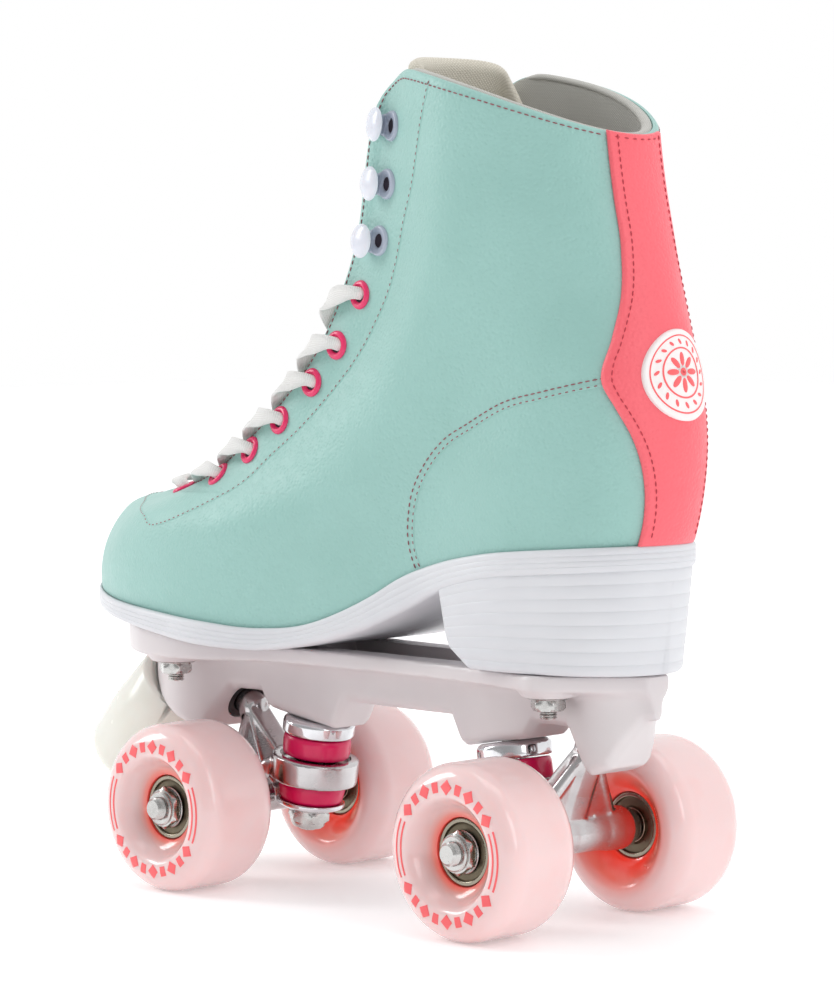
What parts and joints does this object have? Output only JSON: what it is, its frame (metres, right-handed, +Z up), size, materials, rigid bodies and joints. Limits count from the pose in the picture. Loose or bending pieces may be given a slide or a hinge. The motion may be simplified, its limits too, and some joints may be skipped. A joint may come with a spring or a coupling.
{
  "type": "quad roller skate",
  "caption": "High lace-up boot on a heeled sole, with a nylon plate, two steering trucks on rubber cushions, wheels on ball bearings and a toe stop.",
  "frame": {"origin": "on the floor, below the middle of the skate's length and width", "axes": "+Z up, the toe towards -X, the foot's left side towards -Y, the wheel axles along Y"},
  "size_m": [0.2817, 0.113, 0.2853],
  "materials": {
    "mint_leather": "satin grained synthetic leather, coral stitching",
    "coral_leather": "satin grained synthetic leather",
    "white_print": "glossy printed badge",
    "beige_mesh": "woven mesh",
    "grey_lining": "brushed lining cloth",
    "insole_foam": "cloth on foam",
    "white_sole": "moulded, finely grooved",
    "white_nylon": "moulded glass-filled nylon",
    "white_lace": "flat woven",
    "clear_rubber": "translucent cream urethane",
    "magenta_rubber": "translucent poured urethane",
    "black_rubber": "matt rubber",
    "pink_urethane": "translucent poured urethane, printed ring",
    "coral_hub": "moulded hub seen through the tyre",
    "cast_aluminium": "cast and brushed",
    "chrome": "plated and polished",
    "zinc": "zinc plated",
    "bearing_steel": "turned and oiled"
  },
  "bodies": {
    "root": {"boot_upper": "mint_leather", "boot_lining": "grey_lining", "back_stay": "coral_leather", "heel_badge": "white_print", "tongue": "beige_mesh", "lace": "white_lace", "insole": "insole_foam", "outsole": "white_sole", "heel_block": "white_sole", "plate": "white_nylon", "toe_stop": "clear_rubber", "toe_stop_bolt": "zinc", "front_pivot_cup": "black_rubber", "front_kingpin": "zinc", "front_retainer_upper": "chrome", "front_cushion_upper": "magenta_rubber", "front_cushion_lower": "magenta_rubber", "front_retainer_lower": "chrome", "front_kingpin_nut": "zinc", "front_left_mount_bolt": "zinc", "front_left_mount_nut": "zinc", "front_right_mount_bolt": "zinc", "front_right_mount_nut": "zinc", "rear_pivot_cup": "black_rubber", "rear_kingpin": "zinc", "rear_retainer_upper": "chrome", "rear_cushion_upper": "magenta_rubber", "rear_cushion_lower": "magenta_rubber", "rear_retainer_lower": "chrome", "rear_kingpin_nut": "zinc", "rear_left_mount_bolt": "zinc", "rear_left_mount_nut": "zinc", "rear_right_mount_bolt": "zinc", "rear_right_mount_nut": "zinc"},
    "front_truck": {"front_hanger": "cast_aluminium", "front_axle": "zinc", "front_left_axle_nut": "zinc", "front_right_axle_nut": "zinc"},
    "rear_truck": {"rear_hanger": "cast_aluminium", "rear_axle": "zinc", "rear_left_axle_nut": "zinc", "rear_right_axle_nut": "zinc"},
    "front_left_wheel": {"front_left_tyre": "pink_urethane", "front_left_hub": "coral_hub", "front_left_bearing_outer": "bearing_steel", "front_left_bearing_inner": "bearing_steel"},
    "front_right_wheel": {"front_right_tyre": "pink_urethane", "front_right_hub": "coral_hub", "front_right_bearing_outer": "bearing_steel", "front_right_bearing_inner": "bearing_steel"},
    "rear_left_wheel": {"rear_left_tyre": "pink_urethane", "rear_left_hub": "coral_hub", "rear_left_bearing_outer": "bearing_steel", "rear_left_bearing_inner": "bearing_steel"},
    "rear_right_wheel": {"rear_right_tyre": "pink_urethane", "rear_right_hub": "coral_hub", "rear_right_bearing_outer": "bearing_steel", "rear_right_bearing_inner": "bearing_steel"}
  },
  "joints": [
    {"name": "front_truck_steer", "type": "hinge", "parent": "root", "child": "front_truck", "pos_m": [-0.0334, 0, 0.0395], "axis": [0.8455, 0, -0.534], "range_deg": [-8, 8], "stiffness_Nm_per_rad": 60, "deforming": ["front_cushion_upper", "front_cushion_lower"]},
    {"name": "rear_truck_steer", "type": "hinge", "parent": "root", "child": "rear_truck", "pos_m": [0.0666, 0, 0.0395], "axis": [-0.8455, 0, -0.534], "range_deg": [-8, 8], "stiffness_Nm_per_rad": 60, "deforming": ["rear_cushion_upper", "rear_cushion_lower"]},
    {"name": "front_left_wheel_spin", "type": "hinge", "parent": "front_truck", "child": "front_left_wheel", "pos_m": [-0.05465, -0.04, 0.029], "axis": [0, 1, 0], "continuous": true},
    {"name": "front_right_wheel_spin", "type": "hinge", "parent": "front_truck", "child": "front_right_wheel", "pos_m": [-0.05465, 0.04, 0.029], "axis": [0, 1, 0], "continuous": true},
    {"name": "rear_left_wheel_spin", "type": "hinge", "parent": "rear_truck", "child": "rear_left_wheel", "pos_m": [0.08785, -0.04, 0.029], "axis": [0, 1, 0], "continuous": true},
    {"name": "rear_right_wheel_spin", "type": "hinge", "parent": "rear_truck", "child": "rear_right_wheel", "pos_m": [0.08785, 0.04, 0.029], "axis": [0, 1, 0], "continuous": true}
  ]
}
